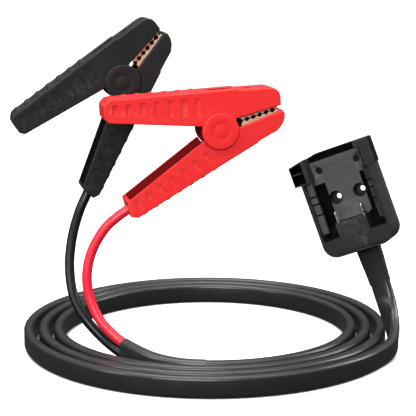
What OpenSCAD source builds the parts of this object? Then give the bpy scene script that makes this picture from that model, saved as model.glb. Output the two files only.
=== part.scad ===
// Jump start lead set: two insulated battery clamps on short leads, a flat twin
// cable wound on edge in a loose coil, and a slide-on battery dock at its other end.
// The coil stands on z = 0 with its centre at the origin, and +Y runs to the rear.

/* [Clamps] */
// Width of a clamp across its side walls
clamp_w = 30; // [26:0.5:38]
// Pivot to the end of the upper handle
handle_len = 86.6; // [72:0.2:108]
// Pivot to the end of the lower handle
lower_len = 90.4; // [74:0.2:110]
// Pivot to the nose of the jaws
jaw_len = 50; // [46:0.5:60]
// Height of the back above the pivot, at the step in front of it
back_h = 30.4; // [28.6:0.2:36]
// Thickness of the clamp's moulded walls
wall = 2.6; // [1.8:0.1:3.2]
// Angle of the lower handle below the back
low_angle = 31; // [26:1:34]
// Angle of the line along which the jaws meet
jaw_angle = 14.5; // [12:0.5:17]
// Spacing of the grip ribs and side flutes
rib_pitch = 10.3; // [8:0.1:10.5]

/* [Clamp pivot] */
// Diameter of the hinge pin
pin_d = 6; // [4:0.5:7]
// Diameter of the upper shell's ears
ear_d = 28; // [24:0.5:30]
// Thickness of the lower shell's inner lugs
lug_t = 2.6; // [2:0.1:3]
// Thickness of the pivot caps
cap_t = 1.6; // [1.2:0.1:2.4]
// Radial running clearance of the pin in the ears
run_gap = 0.05; // [0.02:0.01:0.1]

/* [Clamp jaws] */
// Width of a copper jaw
jaw_w = 22; // [18:0.5:24]
// Thickness of the copper strip
copper_t = 1.2; // [0.8:0.1:1.6]
// Number of teeth along a jaw
teeth = 6; // [4:1:9]
// Depth of the teeth
tooth_h = 2.3; // [1.5:0.1:2.6]

/* [Dock] */
// Width of the dock across its side walls
dock_w = 59; // [56:0.5:72]
// Height of the dock
dock_h = 83.5; // [80:0.5:104]
// Depth of the dock, front rim to back
dock_d = 27; // [25:0.5:34]
// Depth of the battery bay
bay_d = 16; // [13:0.5:16.5]
// Thickness of the dock's walls
dock_wall = 2.4; // [1.8:0.1:3]
// Radius of the two lower corners
corner_r = 11; // [6:0.5:14]
// Width of the raised stop platform
platform_w = 26; // [24:0.5:32]
// Height of the stop platform
platform_h = 26.4; // [24:0.2:32]
// Thickness of a contact blade
blade_t = 1; // [0.6:0.1:1.2]
// Spacing of the two mounting holes
hole_pitch = 20.8; // [18:0.2:24]
// Diameter of the mounting holes
hole_d = 4.4; // [4:0.2:8]

/* [Cables] */
// Width of the flat twin cable
flat_w = 16; // [14:0.5:18]
// Thickness of the flat twin cable
flat_t = 8; // [7:0.5:9]
// Outer diameter of a round lead
lead_d = 7.6; // [6:0.2:8]
// Radius of the outermost turn, to the middle of the cable
coil_r = 151; // [140:1:170]
// Step inwards from one turn to the next
coil_step = 12; // [9:0.5:14]

/* [Hidden] */
$fn = 48;

// Places of the assemblies: pivot of each clamp, its roll, the turn that both share
red_pivot = [6, -45, 178];
red_roll = 3;
black_pivot = [-69, -10, 211];
black_roll = 35;
clamp_turn = 12;
// Middle of the dock's lower front edge, and its roll, lean and turn
dock_at = [120, -26, 79];
dock_roll = 20;
dock_lean = -8;
dock_turn = -20;

// Routes of the free cords, in order along each cord
riser_route = [
    [126, -8, 82], [130.5, -9.5, 69.5], [134.5, -11.5, 58], [138.5, -14, 46],
    [142, -18, 34.5], [144.5, -25, 24], [145.5, -36, 15.5], [143.5, -49, 10.5],
    [138, -62, 8.5], [130, -75, 8]
];
sleeve_route = [
    [-2, -112, 8.5], [-20, -109.5, 8.8], [-38, -101.5, 9.8], [-52, -91, 12],
    [-64, -78, 14.5]
];
red_lead_way = [
    [-63.5, -77.5, 18.4], [-72, -74, 24.2], [-83, -70, 35.5], [-90.5, -66, 52],
    [-92.5, -64, 69], [-88.5, -62, 87], [-79, -61, 103.5], [-69, -60.5, 113],
    [-59.3, -58.9, 119.7]
];
black_lead_way = [
    [-64.5, -78.5, 10.1], [-79, -69, 18.6], [-94.5, -61, 33.5], [-104.5, -51, 50],
    [-108, -41, 70.5], [-106.5, -31, 91], [-101.5, -20.5, 110], [-94.2, -15.4, 126.1]
];

// Fits shared by several pieces
touch = 0.01;
ear_gap = 0.4;
side_gap = 0.3;
block_gap = 0.05;
cable_gap = 0.3;

// Clamp values that follow from the sizes above
gap_at = [13, 5];
half_gap_in = 3.8;
half_gap_tip = 2.2;
nose_back = 2.6;
step_x = 15.6;
step_h = 0.8;
back_fall = 1.4;
flute_w = 4.2;
flute_deep = 1;
bump_r = 5;
bump_h = 0.8;
ribs = 7;
first_rib = 8.6;
lug_outer = clamp_w/2 - wall - side_gap;
lug_inner = lug_outer - lug_t;
lug_d = ear_d - 3;
pin_len = clamp_w + 2*side_gap + cap_t;
plate_z = 8;
plate_out = plate_z + copper_t;
tongue_t = 1.5;
jaw_in = 3.5;
jaw_body = jaw_len - 20;
jaw_tip = jaw_len - 15.5;
screw_x = [10, jaw_len - 26];
screw_d = 3;
screw_head_d = 6;
screw_head_h = 1.6;
screw_grip = 4.5;
boss_d = 7;
spring_wire = 2;
spring_d = 17.2;
spring_len = 2*lug_inner - 3;
barrel_t = -11;
barrel_s = [12, 26];
barrel_d = 9.2;

// Height of the back at x, which falls a little towards the handle's end
function back_at(x) = back_h - back_fall*(step_x - x)/(step_x + handle_len);
function rib_x(i) = -handle_len + first_rib + i*rib_pitch;
function jaw_mid(x) = gap_at.y + (x - gap_at.x)*tan(jaw_angle);
// A point s along the lower handle and t above its middle line
function low(s, t) = [
    -s*cos(low_angle) - t*sin(low_angle), -s*sin(low_angle) + t*cos(low_angle)
];
function side_of(a, b, way) = way*[b.y - a.y, a.x - b.x]/norm(b - a);
function corner_in(c, i, way, by) =
    let (n = side_of(c[i - 1], c[i], way), m = side_of(c[i], c[i + 1], way))
    c[i] + by*(n + m)/(1 + n*m);
// An outline's chain moved inwards by a wall, with both ends carried on past it
function inner_chain(c, way, by, past) = let (e = len(c) - 1) concat(
    [c[0] + by*side_of(c[0], c[1], way) - past*(c[1] - c[0])/norm(c[1] - c[0])],
    [for (i = [1:e - 1]) corner_in(c, i, way, by)],
    [c[e] + by*side_of(c[e - 1], c[e], way) + past*(c[e] - c[e - 1])/norm(c[e] - c[e - 1])]
);

nose_x = jaw_len - nose_back;
nose_h = back_h - step_h;
handle_end_h = [15.5, 12.2];
// Nose, back and handle end of the upper shell
upper_chain = [
    [nose_x, jaw_mid(nose_x) + half_gap_tip], [nose_x, nose_h - 7],
    [nose_x - 0.9, nose_h - 3.5], [nose_x - 3.5, nose_h - 0.9], [nose_x - 7, nose_h],
    [-handle_len + 4, back_at(-handle_len + 4) - step_h],
    [-handle_len, back_at(-handle_len) - 4], [-handle_len, handle_end_h[0]]
];
// Jaw nose, belly and handle end of the lower shell
lower_chain = [
    [jaw_len - 1.2, jaw_mid(jaw_len) - half_gap_tip], [jaw_len + 0.2, 9.6],
    [jaw_len - 0.2, 5.4], [jaw_len - 2.2, 1.2], [jaw_len - 5.8, -2.8], [29.4, -9.9],
    [28.3, -11.3], low(18.6, -21.8), low(lower_len - 2.8, -17.8),
    low(lower_len + 1.3, -14.2), low(lower_len - 2.7, -3.2)
];

// The place in the set of a point s along the barrel's line in a clamp's lower handle
function barrel_at(pivot, roll, s) =
    let (p = low(s, barrel_t), x = p.x*cos(roll) - p.y*sin(roll))
    pivot + [x*cos(clamp_turn), x*sin(clamp_turn), p.x*sin(roll) + p.y*cos(roll)];
// A lead's way with its upper end drawn to the handle's hole, then on to the lug
function lead_route(way, pivot, roll) =
    let (e = len(way) - 1, slip = barrel_at(pivot, roll, lower_len - 2.5) - way[e])
    concat([for (i = [0:e]) way[i] + slip*i/e],
        [for (s = [58.3, barrel_s[1] + 0.5]) barrel_at(pivot, roll, s)]);

// Dock values that follow from the sizes above
bay_w = dock_w - 2*2.5;
deck_t = 2.1;
split_y = bay_d + 4.5;
bay_neck = 44;
ear_w = 5.3;
ear_deep = 12;
slope_w = 18.4;
ear_z = [dock_h - 20.5, dock_h - 4];
lip_w = 5;
lip_y = [5, 9];
lip_cuts = [35.6, 44.5, 50.5];
lip_cut_w = 1.2;
channel_x = 15;
pocket_z = 14.4;
pocket_deep = 2;
mount_z = 45;
mount_bore_d = 10.8;
dock_screw_at = [
    [-16.2, dock_h - 14], [16.2, dock_h - 14],
    [-bay_w/2 + 5.35, 20.3], [bay_w/2 - 5.35, 20.3]
];
dock_screw_d = 2.8;
dock_head_d = 5;
dock_head_h = 1.6;
dock_head_y = split_y - 1.5;
platform_side = 1.2;
blade_x = platform_w/2 - 1.8;
blade_y = [2, 12];
blade_z = [13, platform_h + 9];
block_h = 7;
cable_y = 19;
rim_line_in = 1.3;
rim_line_w = 0.8;
rim_line_deep = 0.8;
seam_x = 4.1;
gland_wall = 2;
gland_z = [-1.5, 6.5];
wire_d = 5;

// ---- Shared building modules ----

module slab(w) {
    rotate([90, 0, 0]) translate([0, 0, -w/2]) linear_extrude(w) children();
}

module layer(y0, y1) {
    rotate([90, 0, 0]) translate([0, 0, -y1]) linear_extrude(y1 - y0) children();
}

module both_sides() {
    children();
    mirror([0, 1, 0]) children();
}

module across(d, w, at = [0, 0]) {
    translate([at.x, 0, at.y]) rotate([90, 0, 0]) cylinder(d = d, h = w, center = true);
}

module box(x, y, z) {
    translate([x[0], y[0], z[0]]) cube([x[1] - x[0], y[1] - y[0], z[1] - z[0]]);
}

// A round bar between two points
module bar(a, b, d) {
    v = b - a;
    translate(a) rotate([0, acos(v.z/norm(v)), atan2(v.y, v.x)]) cylinder(d = d, h = norm(v));
}

// A flat strip between two points of the side view
module strip(a, b, thick, w) {
    v = b - a;
    translate([a.x, 0, a.y]) rotate([0, -atan2(v.y, v.x), 0])
        translate([0, -w/2, -thick/2]) cube([norm(v), w, thick]);
}

// ---- Clamp pieces, seen from the side with the pivot at the origin ----

module place_clamp(pivot, roll) {
    translate(pivot) rotate([0, 0, clamp_turn]) rotate([0, -roll, 0]) children();
}

module jaw_frame() {
    translate([gap_at.x, 0, gap_at.y]) rotate([0, -jaw_angle, 0]) children();
}

module upper_outline() {
    polygon(concat(
        [for (i = [0:4]) upper_chain[i]],
        [[step_x, nose_h], [step_x, back_h], [-handle_len + 4, back_at(-handle_len + 4)]],
        [for (i = [6:7]) upper_chain[i]],
        [
            [-handle_len + 3, handle_end_h[1]], [-ear_d/2 + 1, 4.4], [0, 0],
            gap_at + [0, half_gap_in]
        ]
    ));
    circle(d = ear_d);
}

module lower_outline() {
    polygon(concat(lower_chain, [low(15.2, 0.9), [0, 0], gap_at - [0, half_gap_in]]));
}

module flute(x, z0, z1) {
    box([x - flute_w/2, x + flute_w/2], [clamp_w/2 - flute_deep, clamp_w/2 + 1], [z0, z1]);
    translate([x, clamp_w/2 - flute_deep, z0]) rotate([-90, 0, 0])
        cylinder(d = flute_w, h = flute_deep + 1);
}

module screw_boss(x, z) {
    jaw_frame() translate([x, 0, z]) cylinder(d = boss_d, h = 30);
}

module screw_bores(plate_side) {
    jaw_frame() for (x = screw_x)
        mirror([0, 0, plate_side]) translate([x, 0, plate_z - 1])
            cylinder(d = screw_d, h = copper_t + tongue_t + screw_grip + 1);
}

module upper_shell() {
    difference() {
        union() {
            slab(clamp_w) upper_outline();
            for (i = [0:ribs - 1])
                across(2*bump_r, clamp_w - 5,
                    [rib_x(i), back_at(rib_x(i)) + bump_h - bump_r]);
        }
        slab(clamp_w - 2*wall) polygon(inner_chain(upper_chain, -1, wall, 40));
        across(pin_d + 2*run_gap, clamp_w + 2);
        both_sides() for (i = [0:ribs - 1])
            flute(rib_x(i), handle_end_h[1] + 5 - i*0.95, back_at(rib_x(i)) - 4);
        for (r = [[3.5, 14], [28.5, 7]])
            translate([r[0], 0, back_h - 1.6]) {
                box([-r[1]/2, r[1]/2], [-3.5, 3.5], [0, 3]);
                for (e = [-1, 1]) translate([e*r[1]/2, 0, 0]) cylinder(d = 7, h = 3);
            }
    }
    difference() {
        intersection() {
            union() for (x = screw_x) screw_boss(x, plate_out);
            slab(clamp_w - 2) upper_outline();
        }
        screw_bores(0);
    }
}

module lower_web() {
    polygon([[-8, -7], [-12, -17.5], [3, -20.5], [13.5, -14], [12.5, -3]]);
}

module lower_shell() {
    difference() {
        union() {
            difference() {
                union() {
                    slab(clamp_w) lower_outline();
                    for (i = [0:ribs - 1]) across(2*bump_r, clamp_w - 5,
                        low(19.4 + i*rib_pitch, -21.8 + 0.6*i - bump_h + bump_r));
                }
                slab(clamp_w - 2*wall) polygon(inner_chain(lower_chain, 1, wall, 30));
                across(ear_d + 2*ear_gap, clamp_w + 2);
            }
            both_sides() layer(lug_inner, lug_outer) {
                circle(d = lug_d);
                lower_web();
            }
            both_sides() layer(lug_outer, lug_outer + side_gap + touch) difference() {
                lower_web();
                circle(d = ear_d + 2*ear_gap);
            }
            intersection() {
                jaw_frame() mirror([0, 0, 1]) {
                    translate([screw_x[0], 0, plate_out + tongue_t]) cylinder(d = boss_d, h = 20);
                    translate([screw_x[1], 0, plate_out]) cylinder(d = boss_d, h = 20);
                }
                slab(clamp_w - 2) lower_outline();
            }
        }
        across(pin_d, clamp_w + 2);
        screw_bores(1);
        both_sides() for (i = [0:ribs - 1]) rotate([0, -low_angle, 0])
            mirror([0, 0, 1]) flute(-19.4 - i*rib_pitch, 8.5 - 0.2*i, 15.5 - 0.2*i);
        rotate([0, -low_angle, 0]) translate([-lower_len + 6, 0, barrel_t])
            rotate([0, -90, 0]) cylinder(d = lead_d + 2*cable_gap, h = 12);
    }
}

module pivot_pin() { across(pin_d, pin_len); }

module pivot_cap(way) {
    translate([0, way*(clamp_w/2 + side_gap + cap_t/2), 0]) difference() {
        across(ear_d + 0.4, cap_t);
        translate([0, -way*cap_t/2, 0]) across(pin_d, cap_t);
    }
}

module torsion_spring() {
    difference() {
        across(spring_d, spring_len);
        across(spring_d - 2*spring_wire, spring_len + 1);
    }
    y = spring_len/2 - spring_wire/2;
    r = (spring_d - spring_wire)/2;
    roof = back_at(-28) - step_h - wall - spring_wire/2 - 0.6;
    foot = low(36, -21.8 + 1.1 + wall + spring_wire/2 + 0.6);
    bar([0, -y, r], [-28, -y, roof], spring_wire);
    bar([0, y, -r], [foot.x, y, foot.y], spring_wire);
}

module tooth_row() {
    p = (jaw_tip - jaw_in)/teeth;
    polygon(concat(
        [[jaw_in, plate_out], [jaw_in, 0.15 + tooth_h]],
        [for (i = [0:teeth - 1], k = [0, 1])
            [jaw_in + (i + (k + 1)*0.5)*p, 0.15 + (k == 0 ? 0 : min(tooth_h, half_gap_tip - 0.4))]],
        [[jaw_body, half_gap_tip + 0.2], [jaw_body, plate_out]]
    ));
}

module copper_jaw() {
    difference() {
        slab(jaw_w) tooth_row();
        box([0, jaw_len], [-jaw_w/2 + copper_t, jaw_w/2 - copper_t], [-1, plate_z]);
        for (x = screw_x) translate([x, 0, 0]) cylinder(d = screw_d + 0.2, h = 20);
    }
}

module upper_jaw() { jaw_frame() copper_jaw(); }

module lower_jaw() { jaw_frame() mirror([0, 0, 1]) copper_jaw(); }

module jaw_screw(x, under) {
    translate([x, 0, plate_z - screw_head_h]) cylinder(d = screw_head_d, h = screw_head_h);
    translate([x, 0, plate_z - touch]) cylinder(d = screw_d, h = copper_t + under + screw_grip);
}

module upper_jaw_screws() { jaw_frame() for (x = screw_x) jaw_screw(x, 0); }

module lower_jaw_screws() {
    jaw_frame() mirror([0, 0, 1]) {
        jaw_screw(screw_x[0], tongue_t);
        jaw_screw(screw_x[1], 0);
    }
}

module jaw_braid() {
    braid_t = 1.4;
    r = plate_z - braid_t/2;
    jaw_frame() translate([4.8, 0, 0]) {
        intersection() {
            difference() {
                across(2*r + braid_t, 8);
                across(2*r - braid_t, 9);
            }
            box([-2*r, 0], [-5, 5], [-2*r, 2*r]);
        }
        for (e = [-1, 1]) strip([-touch, e*r], [1.6, e*r], braid_t, 8);
    }
}

module cable_lug() {
    neck = [gap_at.x - 2*cos(jaw_angle) + (plate_out + tongue_t/2)*sin(jaw_angle),
        gap_at.y - 2*sin(jaw_angle) - (plate_out + tongue_t/2)*cos(jaw_angle)];
    difference() {
        union() {
            jaw_frame() box([-2.5, 13], [-5, 5], [-plate_out - tongue_t, -plate_out]);
            strip(low(barrel_s[0] + 1, barrel_t), neck + [0.6, 0.2], tongue_t, 8);
            rotate([0, -low_angle, 0]) translate([-barrel_s[1], 0, barrel_t])
                rotate([0, 90, 0]) cylinder(d = barrel_d, h = barrel_s[1] - barrel_s[0]);
        }
        rotate([0, -low_angle, 0]) translate([-barrel_s[1] - 1, 0, barrel_t])
            rotate([0, 90, 0]) cylinder(d = barrel_d - 3, h = 11);
        jaw_frame() translate([screw_x[0], 0, -20]) cylinder(d = screw_d + 0.2, h = 20);
    }
}

module in_red() { place_clamp(red_pivot, red_roll) children(); }

module in_black() { place_clamp(black_pivot, black_roll) children(); }

module red_upper_shell() { color("red") in_red() upper_shell(); }
module red_lower_shell() { color("red") in_red() lower_shell(); }
module red_pivot_pin() { color("silver") in_red() pivot_pin(); }
module red_front_cap() { color("red") in_red() pivot_cap(-1); }
module red_back_cap() { color("red") in_red() pivot_cap(1); }
module red_torsion_spring() { color("gray") in_red() torsion_spring(); }
module red_upper_jaw() { color("peru") in_red() upper_jaw(); }
module red_lower_jaw() { color("peru") in_red() lower_jaw(); }
module red_upper_jaw_screws() { color("silver") in_red() upper_jaw_screws(); }
module red_lower_jaw_screws() { color("silver") in_red() lower_jaw_screws(); }
module red_jaw_braid() { color("peru") in_red() jaw_braid(); }
module red_cable_lug() { color("peru") in_red() cable_lug(); }

module black_upper_shell() { color("#303030") in_black() upper_shell(); }
module black_lower_shell() { color("#303030") in_black() lower_shell(); }
module black_pivot_pin() { color("silver") in_black() pivot_pin(); }
module black_front_cap() { color("#303030") in_black() pivot_cap(-1); }
module black_back_cap() { color("#303030") in_black() pivot_cap(1); }
module black_torsion_spring() { color("gray") in_black() torsion_spring(); }
module black_upper_jaw() { color("peru") in_black() upper_jaw(); }
module black_lower_jaw() { color("peru") in_black() lower_jaw(); }
module black_upper_jaw_screws() { color("silver") in_black() upper_jaw_screws(); }
module black_lower_jaw_screws() { color("silver") in_black() lower_jaw_screws(); }
module black_jaw_braid() { color("peru") in_black() jaw_braid(); }
module black_cable_lug() { color("peru") in_black() cable_lug(); }

// ---- Dock pieces: x across, y into the dock from its front rim, z up its length ----

module in_dock() {
    translate(dock_at) rotate([0, -dock_roll, 0]) rotate([dock_lean, 0, 0])
        rotate([0, 0, dock_turn]) children();
}

module dock_outline(by = 0) {
    w = dock_w - 2*by;
    r = corner_r - by;
    x = dock_w/2 + ear_w;
    difference() {
        translate([-w/2, by + r]) square([w, dock_h - 2*by - r]);
        polygon([
            [-x, ear_z[1] - by], [-x, dock_h + 1], [-x + slope_w, dock_h + 1],
            [-x + slope_w, dock_h - by]
        ]);
    }
    translate([-w/2 + r, by]) square([w - 2*r, r + touch]);
    for (e = [-1, 1]) translate([e*(w/2 - r), by + r]) circle(r = r);
}

// The cut for the cable and its gland through the bottom wall
module gland_cut(more) {
    w = flat_w + 2*gland_wall + 2*more;
    t = flat_t + 2*gland_wall + 2*more;
    box([-w/2, w/2], [cable_y - t/2, cable_y + t/2], [-3, gland_z[1] + more]);
}

module dock_bores(d, y0, y1) {
    for (e = [-1, 1]) translate([e*hole_pitch/2, y0, mount_z]) rotate([-90, 0, 0])
        cylinder(d = d, h = y1 - y0);
}

module at_dock_screws(y) {
    for (p = dock_screw_at) translate([p.x, y, p.y]) rotate([-90, 0, 0]) children();
}

module dock_ears() {
    x = dock_w/2 + ear_w;
    layer(0, ear_deep) {
        polygon([
            [-x, ear_z[0]], [-x, ear_z[1]], [-x + slope_w, dock_h], [-x + slope_w, ear_z[0]]
        ]);
        polygon([[x, ear_z[0]], [x, dock_h], [21, dock_h], [21, ear_z[0]]]);
    }
}

// Pockets in the ears: a wide one on the left, a narrow one on the right
module ear_pockets() {
    x = dock_w/2 + ear_w - 1.2;
    z = [ear_z[0] + 1.2, ear_z[1] - 6.5];
    difference() {
        layer(-1, ear_deep - 2) polygon([
            [-x, z[0]], [-x, ear_z[1] - 1], [-bay_neck/2 - 2.2, ear_z[1] + 1],
            [-bay_neck/2 - 2.2, z[0]]
        ]);
        box([-x - 1, -x + 8], [1, ear_deep], [z[1] - 0.7, z[1] + 0.3]);
    }
    difference() {
        box([bay_neck/2 - touch, bay_neck/2 + 4], [-1, ear_deep - 2], [z[0], ear_z[1] - 1]);
        box([0, dock_w], [1, ear_deep], [z[1] + 2, z[1] + 3]);
    }
}

// A fine line round the left and bottom rim, and the seam of the platform
module rim_lines() {
    difference() {
        layer(-1, rim_line_deep) difference() {
            dock_outline(rim_line_in);
            dock_outline(rim_line_in + rim_line_w);
        }
        box([22, dock_w], [-2, 2], [-1, dock_h + 1]);
        box([-dock_w, dock_w], [-2, 2], [ear_z[0] - 2, dock_h + 1]);
    }
    box([seam_x, seam_x + rim_line_w], [-1, rim_line_deep], [rim_line_in, platform_h + 1]);
}

module bay_lips() {
    for (e = [0, 1]) mirror([e, 0, 0]) difference() {
        box([bay_w/2 - lip_w, bay_w/2 + 1], lip_y, [pocket_z + 6, ear_z[0]]);
        for (z = lip_cuts)
            box([0, bay_w/2], [lip_y[0] - 1, lip_y[1] + 1], [z, z + lip_cut_w]);
    }
}

module dock_housing() {
    back_y = bay_d + deck_t;
    color("dimgray") in_dock() {
        difference() {
            union() {
                layer(0, split_y) dock_outline();
                dock_ears();
            }
            box([-bay_w/2, bay_w/2], [-1, bay_d], [platform_h, ear_z[0]]);
            box([-bay_neck/2, bay_neck/2], [-1, bay_d], [platform_h, dock_h + 1]);
            box([-bay_neck/2, bay_neck/2], [0, bay_d + 1.5], [dock_h - 6, dock_h + 1]);
            for (e = [0, 1]) mirror([e, 0, 0]) {
                box([channel_x, bay_w/2], [1, bay_d + pocket_deep], [pocket_z, ear_z[0] - 4]);
                box([platform_w/2, bay_w/2], [-1, bay_d + pocket_deep], [pocket_z, platform_h + 1]);
            }
            ear_pockets();
            rim_lines();
            box([-platform_w/2 + platform_side, platform_w/2 - platform_side],
                [1.5, split_y + 1], [dock_wall, platform_h - block_h - touch]);
            box([-platform_w/2 + platform_side, platform_w/2 - platform_side],
                [1.5, bay_d], [platform_h - block_h - 1, platform_h + 1]);
            difference() {
                box([-24, 24], [back_y, split_y + 1], [platform_h + 4, dock_h - 3]);
                dock_bores(mount_bore_d + 3, back_y - 1, split_y + 1);
                at_dock_screws(back_y - 1) cylinder(d = dock_head_d + 4, h = 5);
            }
            dock_bores(mount_bore_d, 0, split_y + 1);
            at_dock_screws(bay_d - 1) cylinder(d = dock_head_d + 0.6, h = dock_head_y - bay_d + 1);
            at_dock_screws(bay_d) cylinder(d = dock_screw_d + 0.4, h = 10);
            gland_cut(0);
        }
        bay_lips();
    }
}

module dock_back_cover() {
    in_y = dock_d - dock_wall;
    color("#404040") in_dock() difference() {
        union() {
            difference() {
                layer(split_y, dock_d) dock_outline();
                layer(split_y - 1, in_y) dock_outline(dock_wall);
            }
            dock_bores(mount_bore_d + 3, split_y, in_y + touch);
            at_dock_screws(split_y) cylinder(d = dock_head_d + 2, h = in_y - split_y + touch);
        }
        dock_bores(mount_bore_d, split_y - 1, in_y);
        dock_bores(hole_d, split_y, dock_d + 1);
        at_dock_screws(split_y - 1) cylinder(d = dock_screw_d, h = in_y - split_y);
        gland_cut(0);
    }
}

module dock_terminal_block() {
    x = platform_w/2 - platform_side - block_gap;
    color("#202020") in_dock() difference() {
        box([-x, x], [1.5 + block_gap, bay_d - block_gap], [platform_h - block_h, platform_h]);
        for (e = [0, 1]) mirror([e, 0, 0])
            box([blade_x - blade_t/2, blade_x + blade_t/2], blade_y, blade_z);
    }
}

module contact_blade() {
    difference() {
        box([blade_x - blade_t/2, blade_x + blade_t/2], blade_y, blade_z);
        translate([0, blade_y[0], blade_z[1]]) rotate([45, 0, 0])
            cube([2*platform_w, 1.6, 1.6], center = true);
    }
}

module inner_wire() {
    cores = flat_t/2;
    beside = blade_x - blade_t/2 - wire_d/2 - 0.3;
    p = smooth([
        [cores, cable_y, gland_z[1]], [cores, cable_y, gland_z[1] + 2.5],
        [beside, blade_y[1] - 2, blade_z[0] + 1.5], [beside, blade_y[1] - 4, blade_z[0] + 3]
    ], 3);
    sweep(p, [for (q = p) [1, 0, 0]], [for (q = p) round_shape(wire_d)]);
}

module dock_positive_blade() { color("gainsboro") in_dock() contact_blade(); }
module dock_negative_blade() { color("gainsboro") in_dock() mirror([1, 0, 0]) contact_blade(); }
module dock_positive_wire() { color("red") in_dock() inner_wire(); }
module dock_negative_wire() { color("#181818") in_dock() mirror([1, 0, 0]) inner_wire(); }

module dock_cable_gland() {
    w = flat_w + 2*cable_gap;
    t = flat_t + 2*cable_gap;
    color("#181818") in_dock() difference() {
        intersection() {
            gland_cut(-block_gap);
            box([-dock_w, dock_w], [0, 2*dock_d], gland_z);
        }
        box([-w/2, w/2], [cable_y - t/2, cable_y + t/2], [-9, gland_z[1] + 9]);
    }
}

module dock_screws() {
    color("silver") in_dock() {
        at_dock_screws(dock_head_y - dock_head_h) difference() {
            cylinder(d = dock_head_d, h = dock_head_h);
            for (a = [0, 90]) rotate(a) cube([0.8, 3, 1.6], center = true);
        }
        at_dock_screws(dock_head_y - touch)
            cylinder(d = dock_screw_d, h = dock_d - dock_wall - 1.2 - dock_head_y);
    }
}

// ---- Cords: one swept tube along each route ----

function along(p, i) = let (a = p[max(i - 1, 0)], b = p[min(i + 1, len(p) - 1)])
    (b - a)/norm(b - a);
// Smooth curve through the route's points, with n rings to each stretch
function smooth(p, n) = concat([for (i = [0:len(p) - 2], k = [0:n - 1]) let (
        a = p[max(i - 1, 0)], b = p[i], c = p[i + 1], d = p[min(i + 2, len(p) - 1)], t = k/n
    ) (2*b + (c - a)*t + (2*a - 5*b + 4*c - d)*t*t + (3*b - a - 3*c + d)*t*t*t)/2],
    [p[len(p) - 1]]);
function unit(v) = v/norm(v);
// One ring of a tube: its outline points laid square to the route
function ring(at, dir, side, shape) = let (
        v = unit(cross(dir, side)), u = cross(v, dir)
    ) [for (q = shape) at + q.x*u + q.y*v];

// A tube along path p: sides[i] leads the ring's width, shapes[i] is its outline
module sweep(p, sides, shapes) {
    n = len(shapes[0]);
    last = len(p) - 1;
    points = [for (i = [0:last]) each ring(p[i], along(p, i), sides[i], shapes[i])];
    polyhedron(points, concat(
        [[for (k = [0:n - 1]) k]],
        [for (i = [0:last - 1], k = [0:n - 1])
            [i*n + k, (i + 1)*n + k, (i + 1)*n + (k + 1)%n]],
        [for (i = [0:last - 1], k = [0:n - 1])
            [i*n + k, (i + 1)*n + (k + 1)%n, i*n + (k + 1)%n]],
        [[for (k = [n - 1:-1:0]) last*n + k]]
    ), convexity = 8);
}

function round_shape(d) = [for (k = [0:11]) d/2*[cos(30*k), sin(30*k)]];
// A flat oval, w along its width and t through its thickness
function oval_shape(w, t) = let (r = t*0.42) [
    for (c = [[1, 1], [-1, 1], [-1, -1], [1, -1]], k = [0:2]) let (
        a = atan2(c.y, c.x) + (k - 1)*40
    ) [c.x*(w/2 - r) + r*cos(a), c.y*(t/2 - r) + r*sin(a)]
];

module flat_cable_coil() {
    inner = coil_r - coil_step*3.25 - flat_t/2;
    color("#202020") rotate_extrude($fn = 96)
        translate([inner, 0]) square([coil_r + flat_t/2 - inner, flat_w]);
}

module flat_cable_riser() {
    p = smooth(riser_route, 3);
    e = len(p) - 1;
    dock_side = [cos(dock_turn)*cos(dock_roll), sin(dock_turn), cos(dock_turn)*sin(dock_roll)];
    sides = [for (i = [0:e]) let (t = min(1, i/(e*0.85)), s = t*t*(3 - 2*t))
        unit((1 - s)*dock_side + s*[0, 0, 1])];
    color("#202020") sweep(p, sides, [for (i = [0:e]) oval_shape(flat_w, flat_t)]);
}

module y_sleeve() {
    p = smooth(sleeve_route, 3);
    e = len(p) - 1;
    mouth = [2*lead_d + 1.6, lead_d + 1.8];
    start = [flat_w + 0.8, flat_t + 0.8];
    color("#202020") sweep(p, [for (i = [0:e]) [0, 0, 1]],
        [for (i = [0:e]) let (q = start + (mouth - start)*i/e) oval_shape(q[0], q[1])]);
}

module lead(route) {
    p = smooth(route, 3);
    sweep(p, [for (q = p) [0.2, -1, 0]], [for (q = p) round_shape(lead_d)]);
}

module red_lead() { color("crimson") lead(lead_route(red_lead_way, red_pivot, red_roll)); }
module black_lead() {
    color("#101418") lead(lead_route(black_lead_way, black_pivot, black_roll));
}

red_upper_shell();
red_lower_shell();
red_pivot_pin();
red_front_cap();
red_back_cap();
red_torsion_spring();
red_upper_jaw();
red_lower_jaw();
red_upper_jaw_screws();
red_lower_jaw_screws();
red_jaw_braid();
red_cable_lug();
black_upper_shell();
black_lower_shell();
black_pivot_pin();
black_front_cap();
black_back_cap();
black_torsion_spring();
black_upper_jaw();
black_lower_jaw();
black_upper_jaw_screws();
black_lower_jaw_screws();
black_jaw_braid();
black_cable_lug();
dock_housing();
dock_back_cover();
dock_terminal_block();
dock_positive_blade();
dock_negative_blade();
dock_positive_wire();
dock_negative_wire();
dock_cable_gland();
dock_screws();
flat_cable_coil();
flat_cable_riser();
y_sleeve();
red_lead();
black_lead();
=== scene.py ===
"""Jump start lead set: two insulated clamps, their leads, a coiled flat cable and its dock."""
import math

import bmesh
import bpy
from mathutils import Matrix, Vector


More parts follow.
